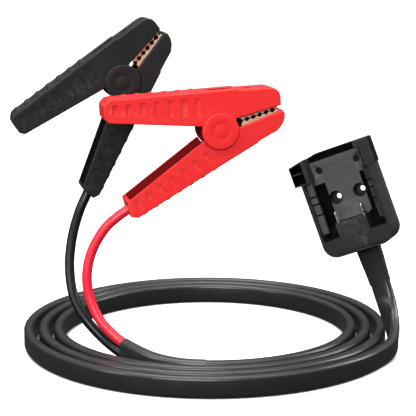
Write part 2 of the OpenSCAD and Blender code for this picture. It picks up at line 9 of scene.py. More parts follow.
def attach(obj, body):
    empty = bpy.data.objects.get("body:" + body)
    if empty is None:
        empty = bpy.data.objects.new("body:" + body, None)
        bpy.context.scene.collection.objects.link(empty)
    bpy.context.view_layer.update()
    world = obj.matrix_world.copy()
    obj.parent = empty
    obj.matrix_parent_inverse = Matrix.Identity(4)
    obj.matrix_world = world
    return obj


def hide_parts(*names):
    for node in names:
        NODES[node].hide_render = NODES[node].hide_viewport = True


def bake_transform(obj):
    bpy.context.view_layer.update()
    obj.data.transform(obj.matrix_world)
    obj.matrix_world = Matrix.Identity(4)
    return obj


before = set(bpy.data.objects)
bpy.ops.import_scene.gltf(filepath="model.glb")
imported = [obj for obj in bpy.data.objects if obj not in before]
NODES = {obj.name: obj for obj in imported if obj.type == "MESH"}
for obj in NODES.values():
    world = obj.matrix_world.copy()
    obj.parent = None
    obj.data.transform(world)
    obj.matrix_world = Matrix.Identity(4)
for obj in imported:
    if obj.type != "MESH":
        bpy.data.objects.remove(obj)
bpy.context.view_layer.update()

MM = 0.001


def rad(degrees):
    return math.radians(degrees)


def ease(t):
    """A smooth start and stop between 0 and 1."""
    return t * t * (3 - 2 * t)


def mm(*point):
    return Vector(point) * MM


def turn(degrees, axis):
    return Matrix.Rotation(rad(degrees), 4, axis)


# ---- Camera, light and floor ----

def set_camera():
    lens = bpy.data.cameras.new("camera")
    lens.sensor_width = 36
    lens.lens = 116.05
    lens.shift_x = -0.0017
    lens.clip_end = 60
    camera = bpy.data.objects.new("camera", lens)
    camera.location = (0, -1.0548, 0.3104)
    tilt_down = 10.85
    camera.rotation_euler = (rad(90 - tilt_down), 0, 0)
    bpy.context.scene.collection.objects.link(camera)
    bpy.context.scene.camera = camera


def soft_light(name, at, aim, size, power):
    data = bpy.data.lights.new(name, "AREA")
    data.shape = "RECTANGLE"
    data.size, data.size_y = size
    data.energy = power
    light = bpy.data.objects.new(name, data)
    light.location = at
    light.rotation_euler = (Vector(aim) - Vector(at)).to_track_quat("-Z", "Y").to_euler()
    bpy.context.scene.collection.objects.link(light)


def light_studio():
    """A bright ceiling that fades towards the floor, soft boxes and narrow strips."""
    world = bpy.data.worlds.new("studio")
    bpy.context.scene.world = world
    world.use_nodes = True
    tree = world.node_tree
    split = tree.nodes.new("ShaderNodeSeparateXYZ")
    tree.links.new(tree.nodes.new("ShaderNodeTexCoord").outputs["Generated"],
                   split.inputs[0])
    background = tree.nodes["Background"]
    background.inputs["Color"].default_value = (1.0, 1.0, 1.0, 1)
    tree.links.new(place_range(tree, split.outputs["Z"], 0.22, 0.85, 0.08, 0.9),
                   background.inputs["Strength"])
    for name, at, aim, size, power in (
            ("overhead_softbox", (-0.25, 0.1, 1.6), (0, 0, 0.1), (1.3, 0.9), 13),
            ("overhead_strip", (0, -0.45, 1.5), (0, 0, 0), (1.8, 0.12), 8),
            ("front_softbox", (-0.5, -2.2, 0.95), (0, 0, 0.14), (1.4, 0.9), 38),
            ("left_strip", (-1.5, -0.9, 0.8), (-0.08, 0, 0.1), (0.3, 1.2), 8),
            ("right_strip", (1.3, 0.25, 0.8), (0.13, 0, 0.06), (0.2, 1.0), 9)):
        soft_light(name, at, aim, size, power)
    bpy.context.scene.view_settings.view_transform = "Standard"


# ---- Node groups and materials ----

def new_group(name, inputs, outputs):
    """An empty shader group: (group, its input node, its output node)."""
    group = bpy.data.node_groups.new(name, "ShaderNodeTree")
    for label, kind, value in inputs:
        socket = group.interface.new_socket(label, in_out="INPUT", socket_type=kind)
        if value is not None:
            socket.default_value = value
    for label, kind in outputs:
        group.interface.new_socket(label, in_out="OUTPUT", socket_type=kind)
    return group, group.nodes.new("NodeGroupInput"), group.nodes.new("NodeGroupOutput")


def place_noise(tree, vector, scale, detail=2.0, rough=0.5):
    """A noise node on that vector; scale is a number or a socket."""
    noise = tree.nodes.new("ShaderNodeTexNoise")
    noise.inputs["Detail"].default_value = detail
    noise.inputs["Roughness"].default_value = rough
    tree.links.new(vector, noise.inputs["Vector"])
    if isinstance(scale, (int, float)):
        noise.inputs["Scale"].default_value = scale
    else:
        tree.links.new(scale, noise.inputs["Scale"])
    return noise.outputs["Fac"]


def place_math(tree, operation, a, b, clamp=False):
    node = tree.nodes.new("ShaderNodeMath")
    node.operation = operation
    node.use_clamp = clamp
    for socket, value in zip(node.inputs, (a, b)):
        if isinstance(value, (int, float)):
            socket.default_value = value
        else:
            tree.links.new(value, socket)
    return node.outputs[0]


def place_range(tree, value, low, high, to_low=0.0, to_high=1.0):
    node = tree.nodes.new("ShaderNodeMapRange")
    tree.links.new(value, node.inputs["Value"])
    for label, number in zip(("From Min", "From Max", "To Min", "To Max"),
                             (low, high, to_low, to_high)):
        node.inputs[label].default_value = number
    return node.outputs["Result"]


def place_mix(tree, factor, a, b):
    """A colour mix; a and b are colours or sockets."""
    node = tree.nodes.new("ShaderNodeMix")
    node.data_type = "RGBA"
    tree.links.new(factor, node.inputs["Factor"])
    for label, value in (("A", a), ("B", b)):
        socket = [s for s in node.inputs if s.name == label and s.type == "RGBA"][0]
        if isinstance(value, tuple):
            socket.default_value = (*value, 1)
        else:
            tree.links.new(value, socket)
    return [s for s in node.outputs if s.type == "RGBA"][0]


def moulded_skin_group():
    """Fine spark grain and slow flow marks of moulded plastic."""
    group, inside, out = new_group(
        "moulded_skin",
        [("Vector", "NodeSocketVector", None), ("Grain Scale", "NodeSocketFloat", 2600.0)],
        [("Height", "NodeSocketFloat"), ("Flow", "NodeSocketFloat")])
    vector = inside.outputs["Vector"]
    grain = place_noise(group, vector, inside.outputs["Grain Scale"], 3.0, 0.6)
    pits = place_noise(group, vector, 700.0, 1.0)
    height = place_math(group, "ADD", grain, place_range(group, pits, 0.3, 0.7, 0.0, 0.35))
    flow = place_noise(group, vector, 38.0, 4.0, 0.55)
    group.links.new(height, out.inputs["Height"])
    group.links.new(flow, out.inputs["Flow"])
    return group


def edge_wear_group():
    """Masks of the rubbed corners, broken up by noise, and of the creases for painted shade."""
    group, inside, out = new_group(
        "edge_wear",
        [("Vector", "NodeSocketVector", None), ("Amount", "NodeSocketFloat", 1.0)],
        [("Mask", "NodeSocketFloat"), ("Painted Crease Shade", "NodeSocketFloat")])
    geometry = group.nodes.new("ShaderNodeNewGeometry")
    corner = place_range(group, geometry.outputs["Pointiness"], 0.515, 0.60)
    # painted shade: the hollow creases, found by pointiness, are marked for darkening
    hollow = place_range(group, geometry.outputs["Pointiness"], 0.49, 0.44)
    group.links.new(hollow, out.inputs["Painted Crease Shade"])
    patches = place_range(
        group, place_noise(group, inside.outputs["Vector"], 210.0, 5.0, 0.65), 0.38, 0.66)
    worn = place_math(group, "MULTIPLY", corner, patches)
    group.links.new(place_math(group, "MULTIPLY", worn, inside.outputs["Amount"], True),
                    out.inputs["Mask"])
    return group


def dust_group():
    """A thin film of dust on faces that look up, in soft patches."""
    group, inside, out = new_group(
        "settled_dust",
        [("Vector", "NodeSocketVector", None), ("Amount", "NodeSocketFloat", 0.1)],
        [("Mask", "NodeSocketFloat")])
    geometry = group.nodes.new("ShaderNodeNewGeometry")
    split = group.nodes.new("ShaderNodeSeparateXYZ")
    group.links.new(geometry.outputs["Normal"], split.inputs[0])
    up = place_range(group, split.outputs["Z"], 0.2, 1.0)
    patches = place_range(
        group, place_noise(group, inside.outputs["Vector"], 90.0, 6.0, 0.7), 0.4, 0.75)
    film = place_math(group, "MULTIPLY", up, patches)
    group.links.new(place_math(group, "MULTIPLY", film, inside.outputs["Amount"], True),
                    out.inputs["Mask"])
    return group


def extruded_skin_group():
    """Long faint draw lines and small scuffs along a cable, on its own lay attribute."""
    group, inside, out = new_group(
        "extruded_skin",
        [("Vector", "NodeSocketVector", None)],
        [("Height", "NodeSocketFloat"), ("Scuff", "NodeSocketFloat")])
    stretched = group.nodes.new("ShaderNodeMapping")
    stretched.inputs["Scale"].default_value = (1.0, 1.0, 0.04)
    group.links.new(inside.outputs["Vector"], stretched.inputs["Vector"])
    lines = place_noise(group, stretched.outputs["Vector"], 900.0, 3.0, 0.6)
    scuff = place_noise(group, inside.outputs["Vector"], 120.0, 5.0, 0.6)
    group.links.new(lines, out.inputs["Height"])
    group.links.new(scuff, out.inputs["Scuff"])
    return group


SKIN = moulded_skin_group()
WEAR = edge_wear_group()
DUST = dust_group()
DRAWN = extruded_skin_group()
DUST_ON_PLASTIC = (0.55, 0.53, 0.50)
DUST_ON_CABLE = (0.45, 0.44, 0.42)


def start_material(name, constants):
    """A new material with those socket values: (material, its tree, its Principled node)."""
    material = bpy.data.materials.new(name)
    material.use_nodes = True
    tree = material.node_tree
    shader = tree.nodes["Principled BSDF"]
    for label, value in constants.items():
        shader.inputs[label].default_value = value
    return material, tree, shader


def place_group(tree, group, vector, **values):
    node = tree.nodes.new("ShaderNodeGroup")
    node.node_tree = group
    tree.links.new(vector, node.inputs["Vector"])
    for label, value in values.items():
        node.inputs[label.replace("_", " ")].default_value = value
    return node.outputs


def object_vector(tree):
    return tree.nodes.new("ShaderNodeTexCoord").outputs["Object"]


def lay_vector(tree):
    """The cable's own straightened coordinates, kept in its lay attribute."""
    attribute = tree.nodes.new("ShaderNodeAttribute")
    attribute.attribute_name = "lay"
    return attribute.outputs["Vector"]


def place_bump(tree, shader, height, strength, depth):
    bump = tree.nodes.new("ShaderNodeBump")
    bump.inputs["Strength"].default_value = strength
    bump.inputs["Distance"].default_value = depth
    tree.links.new(height, bump.inputs["Height"])
    tree.links.new(bump.outputs["Normal"], shader.inputs["Normal"])


def moulded_plastic(name, colour, deep, worn, rough, specular=0.4, grain=2600.0, bump=0.25,
                    wear=0.8, dust=0.05, crease=0.62):
    material, tree, shader = start_material(name, {"Specular IOR Level": specular})
    vector = object_vector(tree)
    skin = place_group(tree, SKIN, vector, Grain_Scale=grain)
    edge = place_group(tree, WEAR, vector, Amount=wear)
    film = place_group(tree, DUST, vector, Amount=dust)["Mask"]
    tone = place_mix(tree, place_range(tree, skin["Flow"], 0.35, 0.7), colour, deep)
    tone = place_mix(tree, edge["Mask"], tone, worn)
    # painted shade: creases darkened towards the deep tone dimmed by the crease factor
    tone = place_mix(tree, edge["Painted Crease Shade"], tone, tuple(c * crease for c in deep))
    tone = place_mix(tree, film, tone, DUST_ON_PLASTIC)
    tree.links.new(tone, shader.inputs["Base Color"])
    tree.links.new(place_range(tree, skin["Flow"], 0.3, 0.7, rough - 0.025, rough + 0.035),
                   shader.inputs["Roughness"])
    place_bump(tree, shader, skin["Height"], bump, 0.0002)
    return material


def worked_metal(name, colour, tarnish, rough, scale=160.0, bump=0.2, wear=0.6, bright=None,
                 metal=1.0):
    material, tree, shader = start_material(name, {"Metallic": metal})
    vector = object_vector(tree)
    cloud = place_noise(tree, vector, scale, 6.0, 0.65)
    fine = place_noise(tree, vector, scale * 14, 3.0, 0.6)
    edge = place_group(tree, WEAR, vector, Amount=wear)["Mask"]
    tone = place_mix(tree, place_range(tree, cloud, 0.42, 0.72), colour, tarnish)
    tone = place_mix(tree, edge, tone, bright or colour)
    tree.links.new(tone, shader.inputs["Base Color"])
    tree.links.new(place_range(tree, cloud, 0.3, 0.75, rough - 0.08, rough + 0.18),
                   shader.inputs["Roughness"])
    place_bump(tree, shader, fine, bump, 0.0001)
    return material


def cable_jacket(name, colour, scuffed, rough, specular=0.5, coat=0.0, bump=0.12):
    material, tree, shader = start_material(
        name, {"Specular IOR Level": specular, "Coat Weight": coat, "Coat Roughness": 0.12})
    drawn = place_group(tree, DRAWN, lay_vector(tree))
    tone = place_mix(tree, place_range(tree, drawn["Scuff"], 0.45, 0.75), colour, scuffed)
    film = place_group(tree, DUST, object_vector(tree), Amount=0.04)["Mask"]
    tone = place_mix(tree, film, tone, DUST_ON_CABLE)
    tree.links.new(tone, shader.inputs["Base Color"])
    tree.links.new(place_range(tree, drawn["Scuff"], 0.3, 0.75, rough - 0.02, rough + 0.05),
                   shader.inputs["Roughness"])
    place_bump(tree, shader, drawn["Height"], bump, 0.0001)
    return material


def woven_copper(name):
    """Flat braid: two crossing waves along the strap."""
    material, tree, shader = start_material(name, {"Metallic": 1.0})
    vector = lay_vector(tree)
    weave = None
    for slant in (1, -1):
        mapping = tree.nodes.new("ShaderNodeMapping")
        mapping.inputs["Rotation"].default_value = (0, rad(45 * slant), 0)
        tree.links.new(vector, mapping.inputs["Vector"])
        wave = tree.nodes.new("ShaderNodeTexWave")
        wave.inputs["Scale"].default_value = 260.0
        wave.inputs["Distortion"].default_value = 0.4
        tree.links.new(mapping.outputs["Vector"], wave.inputs["Vector"])
        strand = wave.outputs["Fac"]
        weave = strand if weave is None else place_math(tree, "MAXIMUM", weave, strand)
    tree.links.new(place_mix(tree, weave, (0.30, 0.10, 0.04), (0.90, 0.46, 0.26)),
                   shader.inputs["Base Color"])
    tree.links.new(place_range(tree, weave, 0.0, 1.0, 0.55, 0.3), shader.inputs["Roughness"])
    place_bump(tree, shader, weave, 0.8, 0.0004)
    return material


RED_GRIP = moulded_plastic("red_grip_plastic", (0.96, 0.031, 0.032), (0.90, 0.026, 0.028),
                           (0.98, 0.10, 0.09), 0.42, 0.24, crease=0.8)
# painted shade: a darker red for the shell faces that look into the hollow
RED_PAINTED_SHADE = moulded_plastic("red_grip_painted_shade", (0.26, 0.003, 0.004), (0.19, 0.002, 0.003),
                             (0.42, 0.01, 0.01), 0.6, 0.15, wear=0.3)
BLACK_GRIP = moulded_plastic("black_grip_plastic", (0.0105, 0.0130, 0.0135),
                             (0.0085, 0.0110, 0.0115), (0.050, 0.050, 0.051), 0.46, 0.25,
                             crease=0.9)
# painted shade: a near black for the shell faces that look into the hollow
BLACK_PAINTED_SHADE = moulded_plastic("black_grip_painted_shade", (0.004, 0.004, 0.004),
                               (0.003, 0.003, 0.003), (0.010, 0.010, 0.010), 0.7, 0.1,
                               wear=0.3)
DOCK_SHELL = moulded_plastic("dock_plastic", (0.0185, 0.0185, 0.019), (0.0170, 0.0170, 0.0175),
                             (0.12, 0.12, 0.12), 0.5, 0.25, grain=3200.0, bump=0.35,
                             wear=1.0)
DOCK_DECK = moulded_plastic("dock_deck_plastic", (0.083, 0.083, 0.084), (0.070, 0.070, 0.071),
                            (0.13, 0.13, 0.13), 0.45, 0.3, grain=3200.0, bump=0.35)
# painted shade: near black for the pockets, rail channels and recess floors
DOCK_PAINTED_SHADE = moulded_plastic("dock_painted_shade_plastic", (0.0016, 0.0016, 0.0016),
                              (0.001, 0.001, 0.001), (0.02, 0.02, 0.02), 0.65, 0.05,
                              grain=3200.0, bump=0.35)
BLOCK = moulded_plastic("terminal_block_plastic", (0.010, 0.010, 0.011),
                        (0.008, 0.008, 0.009), (0.05, 0.05, 0.05), 0.55, 0.25)
RUBBER = moulded_plastic("gland_rubber", (0.015, 0.015, 0.016), (0.018, 0.018, 0.018),
                         (0.03, 0.03, 0.03), 0.42, 0.3, grain=1500.0)
SLEEVE = moulded_plastic("shrink_sleeve", (0.016, 0.018, 0.019), (0.022, 0.024, 0.025),
                         (0.07, 0.07, 0.07), 0.32, 0.75, grain=900.0, bump=0.3)
COPPER = worked_metal("copper", (1.0, 0.70, 0.49), (0.85, 0.42, 0.24), 0.3,
                      bright=(1.0, 0.88, 0.74), metal=0.3)
# painted shade: a dark copper for the jaw faces that look into the channel
COPPER_SHADE = worked_metal("copper_painted_shade", (0.22, 0.06, 0.025), (0.10, 0.025, 0.012), 0.5,
                            wear=0.2)
BRAID = woven_copper("copper_braid")
ZINC = worked_metal("zinc_steel", (0.72, 0.73, 0.75), (0.50, 0.50, 0.49), 0.3)
OXIDE = worked_metal("oxide_screw_steel", (0.030, 0.030, 0.033), (0.012, 0.011, 0.011), 0.4)
SPRING = worked_metal("spring_steel", (0.33, 0.33, 0.34), (0.16, 0.14, 0.13), 0.36)
NICKEL = worked_metal("nickel_contact", (0.90, 0.89, 0.87), (0.70, 0.68, 0.64), 0.25,
                      bump=0.08)
RED_JACKET = cable_jacket("red_lead_jacket", (0.97, 0.018, 0.048), (0.92, 0.016, 0.040),
                          0.32, 0.55)
BLACK_JACKET = cable_jacket("black_lead_jacket", (0.003, 0.005, 0.007),
                            (0.006, 0.009, 0.011), 0.28, 0.33)
FLAT_JACKET = cable_jacket("flat_cable_jacket", (0.016, 0.0165, 0.0172),
                           (0.019, 0.0195, 0.020), 0.29, 0.6)


# ---- Making pieces ----

def add_piece(name, bm, material, body, slot, *nodes, crease=35):
    """Turns the bmesh into a piece on that body, in place of those CAD nodes."""
    mesh = bpy.data.meshes.new(name)
    bm.to_mesh(mesh)
    bm.free()
    mesh.materials.append(material)
    mesh.shade_smooth()
    mesh.set_sharp_from_angle(angle=rad(crease))
    piece = bpy.data.objects.new(name, mesh)
    bpy.context.scene.collection.objects.link(piece)
    if nodes:
        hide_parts(*nodes)
    if body:
        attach(piece, body)
    return piece


def even_shading(piece):
    """Keeps broad flat faces flat beside their rounded edges."""
    weighted = piece.modifiers.new("even_shading", "WEIGHTED_NORMAL")
    weighted.keep_sharp = True
    weighted.weight = 80


def smooth_route(points, steps):
    """A smooth curve through the points, with that many steps to each stretch."""
    last = len(points) - 1
    route = []
    for i in range(last):
        a, b, c, d = (points[j] for j in (max(i - 1, 0), i, i + 1, min(i + 2, last)))
        for k in range(steps):
            t = k / steps
            route.append((2 * b + (c - a) * t + (2 * a - 5 * b + 4 * c - d) * t * t
                          + (3 * b - a - 3 * c + d) * t ** 3) / 2)
    return route + [points[last]]


def ring_places(route, sides):
    """One matrix per point of the route: x along its side, z along the route."""
    places = []
    for i, at in enumerate(route):
        way = (route[min(i + 1, len(route) - 1)] - route[max(i - 1, 0)]).normalized()
        across = way.cross(sides[i]).normalized()
        side = across.cross(way)
        places.append(Matrix.Translation(at) @ Matrix(
            [[side[k], across[k], way[k]] for k in range(3)]).to_4x4())
    return places


def round_section(width, thick, corner, count=24):
    """Points round a section with rounded corners, or a circle where they all meet."""
    per = count // 4
    points = []
    for q, (sx, sy) in enumerate(((1, 1), (-1, 1), (-1, -1), (1, -1))):
        for k in range(per):
            a = math.pi / 2 * (q + (k + 0.5) / per)
            points.append((sx * (width / 2 - corner) + corner * math.cos(a),
                           sy * (thick / 2 - corner) + corner * math.sin(a)))
    return points


def swept(route, sides, section, scales=None):
    """A closed tube: the section carried along the route ring by ring."""
    bm = bmesh.new()
    lay = bm.verts.layers.float_vector.new("lay")
    ring = bmesh.ops.create_circle(bm, segments=len(section), radius=1)["verts"]
    for vert, (x, y) in zip(ring, section):
        vert.co = (x, y, 0)
        vert[lay] = (x, y, 0)
    places = ring_places(route, sides)
    if scales:
        places = [p @ Matrix.Diagonal((*s, 1, 1)) for p, s in zip(places, scales)]
    bmesh.ops.transform(bm, matrix=places[0], verts=ring)
    edges = list(bm.edges)
    first, length = edges, 0.0
    for i in range(1, len(route)):
        made = bmesh.ops.extrude_edge_only(bm, edges=edges)["geom"]
        ring = [g for g in made if isinstance(g, bmesh.types.BMVert)]
        edges = [g for g in made if isinstance(g, bmesh.types.BMEdge)
                 and g.verts[0] in ring and g.verts[1] in ring]
        bmesh.ops.transform(bm, matrix=places[i] @ places[i - 1].inverted(), verts=ring)
        length += (route[i] - route[i - 1]).length
        for vert in ring:
            vert[lay] = (vert[lay][0], vert[lay][1], length)
    for end in (first, edges):
        bmesh.ops.contextual_create(bm, geom=end)
    bmesh.ops.recalc_face_normals(bm, faces=bm.faces)
    return bm


def spread_across(face, back):
    """How far a face reaches across the clamp, from side to side."""
    spots = [(back @ v.co).y for v in face.verts]
    return max(spots) - min(spots)


WELD = 0.004 * MM
SAME_FACE, ROUNDED_FROM = rad(0.6), rad(28)
SHORTEST_ROUNDED = 0.6 * MM


def rounded_copy(name, node, material, body, slot, place, rounds, crease=35, merge=True):
    """A CAD node's own shape with its edges rounded, each round a (test, radius, steps)."""
    bm = bmesh.new()
    bm.from_mesh(NODES[node].data)
    bmesh.ops.remove_doubles(bm, verts=bm.verts, dist=WELD)
    if merge:
        bmesh.ops.dissolve_limit(bm, angle_limit=SAME_FACE, verts=bm.verts, edges=bm.edges)
    back = place.inverted()
    for test, radius, steps in rounds:
        chosen = [e for e in bm.edges
                  if e.is_manifold and e.calc_face_angle() > ROUNDED_FROM and test(e, back)]
        bmesh.ops.bevel(bm, geom=chosen, offset=radius, offset_type="OFFSET", segments=steps,
                        profile=0.5, affect="EDGES", clamp_overlap=False, material=-1,
                        loop_slide=True)
    piece = add_piece(name, bm, material, body, slot, node, crease=crease)
    even_shading(piece)
    return piece


def refinish(piece, place, material, test):
    """Gives the faces that pass the test, by place and outward way, another finish."""
    piece.data.materials.append(material)
    index = len(piece.data.materials) - 1
    back = place.inverted()
    spin = back.to_3x3()
    for face in piece.data.polygons:
        if test(back @ face.center, spin @ face.normal):
            face.material_index = index


# ---- Places and sizes ----

CLAMPS = {
    "red": Matrix.Translation(mm(6, -45, 178)) @ turn(12, "Z") @ turn(-3, "Y"),
    "black": Matrix.Translation(mm(-69, -10, 211)) @ turn(12, "Z") @ turn(-35, "Y"),
}
DOCK = (Matrix.Translation(mm(120, -26, 79)) @ turn(-20, "Y") @ turn(-8, "X")
        @ turn(-20, "Z"))
DOCK_SIDE = DOCK.to_3x3() @ Vector((1, 0, 0))
DOCK_DEEP, DECK_AT = 27 * MM, 16 * MM
JAW = Matrix.Translation(mm(13, 0, 5)) @ turn(-14.5, "Y")
CLAMP_W = 30 * MM

FLAT_W, FLAT_T = 16 * MM, 8 * MM
LEAD_D = 7.6 * MM
RISER_ROUTE = [mm(*p) for p in (
    (126, -8, 82), (130.5, -9.5, 69.5), (134.5, -11.5, 58), (138.5, -14, 46),
    (142, -18, 34.5), (144.5, -25, 24), (145.5, -36, 15.5), (143.5, -49, 10.5),
    (138, -62, 8.5), (130, -75, 8))]
SLEEVE_ROUTE = [mm(*p) for p in (
    (-2, -112, 8.5), (-20, -109.5, 8.8), (-38, -101.5, 9.8), (-52, -91, 12),
    (-64, -78, 14.5))]
RED_ROUTE = [mm(*p) for p in (
    (-63.5, -77.5, 18.4), (-72, -74, 24.2), (-83, -70, 35.5), (-90.5, -66, 52),
    (-92.5, -64, 69), (-88.5, -62, 87), (-79, -61, 103.5), (-69, -60.5, 113),
    (-59.3, -58.9, 119.7), (-35, -53.7, 136.4), (-9.5, -48.3, 154.1))]
BLACK_ROUTE = [mm(*p) for p in (
    (-64.5, -78.5, 10.1), (-79, -69, 18.6), (-94.5, -61, 33.5), (-104.5, -51, 50),
    (-108, -41, 70.5), (-106.5, -31, 91), (-101.5, -20.5, 110), (-94.2, -15.4, 126.1),
    (-82.5, -12.9, 153), (-69.6, -10.2, 182.6))]
COIL_R, COIL_STEP = 151 * MM, 12 * MM
COIL_FROM, COIL_TO, COIL_EVERY = 36, 1170, 6
SLEEVE_W, SLEEVE_T = 16.8, 9.4
UP = Vector((0, 0, 1))


# ---- Cords ----

def coil_point(turned):
    """A point of the coil, that many degrees clockwise from +X."""
    r = COIL_R - COIL_STEP * turned / 360
    return Vector((r * math.cos(rad(turned)), -r * math.sin(rad(turned)), FLAT_W / 2))


def make_flat_cable():
    steps = 4
    bends = [coil_point(a) for a in range(COIL_FROM, COIL_TO + 1, COIL_EVERY)]
    into_sleeve = [mm(-6, -111.7, 8), mm(-12, -111, 8)]
    route = smooth_route(RISER_ROUTE, steps) + bends + into_sleeve
    riser = steps * (len(RISER_ROUTE) - 1)
    upright_by = riser * 0.85
    sides = []
    for i in range(len(route)):
        s = ease(min(1, i / upright_by))
        sides.append(((1 - s) * DOCK_SIDE + s * UP).normalized())
    bm = swept(route, sides, round_section(FLAT_W, FLAT_T, 3.3 * MM, 28))
    cable = add_piece("flat_twin_cable", bm, FLAT_JACKET, "root", "flat_cable_jacket",
                      "flat_cable_coil", "flat_cable_riser", crease=60)
    return cable, route


def make_sleeve():
    route = smooth_route(SLEEVE_ROUTE, 6)
    last = len(route) - 1
    start = ((FLAT_W + 0.3 * MM) / SLEEVE_W, (FLAT_T + 0.4 * MM) / SLEEVE_T)
    scales = []
    for i in range(last + 1):
        s = ease(min(1, max(0, (i / last - 0.25) / 0.6)))
        scales.append((start[0] + (MM - start[0]) * s, start[1] + (MM - start[1]) * s))
    section = [(x, y * (1 - 0.16 * math.exp(-(x / 2.6) ** 2)))
               for x, y in round_section(SLEEVE_W, SLEEVE_T, 4.2, 32)]
    bm = swept(route, [UP] * (last + 1), section, scales)
    bm.faces.ensure_lookup_table()
    mouth = max((f for f in bm.faces if len(f.verts) > 8),
                key=lambda f: -(f.calc_center_median() - route[last]).length)
    bmesh.ops.inset_individual(bm, faces=[mouth], thickness=0.9 * MM)
    bmesh.ops.translate(bm, vec=route[last - 4] - route[last], verts=mouth.verts)
    return add_piece("y_shrink_sleeve", bm, SLEEVE, "root", "shrink_sleeve", "y_sleeve",
                     crease=50)


def make_lead(name, route_points, material, slot, node):
    route = smooth_route(route_points, 6)
    sides = [Vector((0.2, -1, 0))] * len(route)
    bm = swept(route, sides, round_section(LEAD_D, LEAD_D, LEAD_D / 2, 24))
    lead = add_piece(name, bm, material, "root", slot, node, crease=60)
    return lead


def make_cords():
    cable, route = make_flat_cable()
    sleeve = make_sleeve()
    boot = make_boot()
    make_lead("red_lead_cable", RED_ROUTE, RED_JACKET, "red_lead_jacket", "red_lead")
    make_lead("black_lead_cable", BLACK_ROUTE, BLACK_JACKET, "black_lead_jacket",
              "black_lead")


# ---- Clamps ----

def on_outline(edge, back):
    """True on a shell's outer outline, where its side wall meets a deep face."""
    sides = [(back @ v.co).y for v in edge.verts]
    if min(abs(s) for s in sides) < CLAMP_W / 2 - 0.05 * MM or sides[0] * sides[1] < 0:
        return False
    return edge.is_convex and all(
        spread_across(f, back) > 1.5 * MM or spread_across(f, back) < 0.01 * MM
        for f in edge.link_faces)


def any_edge(edge, back):
    """True but for the short steps round a bored hole."""
    return edge.calc_length() > SHORTEST_ROUNDED


def make_disc(name, place, way, material, slot, node):
    """A pivot cover: a low disc, turned from half its section, with a shallow ring."""
    rim = ((0, 16.84), (5.4, 16.84), (5.6, 16.78), (6.0, 16.78), (6.2, 16.84), (12.9, 16.86),
           (13.4, 16.76), (13.7, 16.48), (13.8, 16.1), (13.8, 15.3), (3.0, 15.3),
           (3.0, 16.05), (0, 16.05))
    bm = bmesh.new()
    verts = [bm.verts.new(mm(r, way * y, 0)) for r, y in rim]
    edges = [bm.edges.new(pair) for pair in zip(verts, verts[1:])]
    bmesh.ops.spin(bm, geom=verts + edges, cent=(0, 0, 0), axis=(0, 1, 0),
                   angle=2 * math.pi, steps=72, use_merge=True)
    bmesh.ops.remove_doubles(bm, verts=bm.verts, dist=0.001 * MM)
    bmesh.ops.recalc_face_normals(bm, faces=bm.faces)
    bmesh.ops.transform(bm, matrix=place, verts=bm.verts)
    return add_piece(name, bm, material, "root", slot, node, crease=40)


def make_spring(name, place, node):
    """The torsion spring: a wound wire with a straight leg into each handle."""
    wire, r, half = 2.0, 7.6, 7.0
    roof, foot = Vector((-28, 24.8)), Vector((-22.4, -32.7))
    first, wound = 60.2, 2265.7
    points = [mm(roof.x, -half, roof.y)]
    turns = int(wound / 15)
    for i in range(turns + 1):
        a = rad(first - wound * i / turns)
        points.append(mm(r * math.cos(a), -half + 2 * half * i / turns, r * math.sin(a)))
    points.append(mm(foot.x, half, foot.y))
    route = [place @ p for p in points]
    sides = [place.to_3x3() @ Vector((0, 1, 0))] * len(route)
    bm = swept(route, sides, round_section(wire * MM, wire * MM, wire / 2 * MM, 12))
    spring = add_piece(name, bm, SPRING, None, "spring_steel", node, crease=60)
    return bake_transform(spring)


def make_braid(name, place, node):
    """The flat copper braid that ties the two jaws together behind their teeth."""
    r = 7.3
    points = [mm(4.8 + 1.6, 0, -r)]
    for a in range(-90, 91, 10):
        points.append(mm(4.8 - r * math.cos(rad(a)), 0, r * math.sin(rad(a))))
    points.append(mm(4.8 + 1.6, 0, r))
    in_jaw = place @ JAW
    route = [in_jaw @ p for p in points]
    sides = [in_jaw.to_3x3() @ Vector((0, 1, 0))] * len(route)
    bm = swept(route, sides, round_section(8 * MM, 1.4 * MM, 0.6 * MM, 20))
    braid = add_piece(name, bm, BRAID, None, "copper_braid", node, crease=50)
    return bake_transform(braid)


def facing_hollow(line):
    """A test for the faces that look into a shell's hollow, which lies along that line."""
    spots = [mm(x, 0, z) for x, z in line]

    def test(at, way):
        if abs(at.y) > CLAMP_W / 2 - 2 * MM:
            return False
        return way.dot(min(spots, key=lambda p: (p - at).length) - at) > 0
    return test


HOLLOWS = {
    "upper": facing_hollow([(x, 21) for x in range(-80, 40, 10)]),
    "lower": facing_hollow([(-12.5 - 0.857 * d, -18 - 0.515 * d) for d in range(0, 70, 10)]
                           + [(0, -14), (12, -8), (24, -3), (34, 1), (42, 4)]),
}


def in_channel(at, way):
    return abs(at.y) < 10.9 * MM and at.y * way.y <= 0


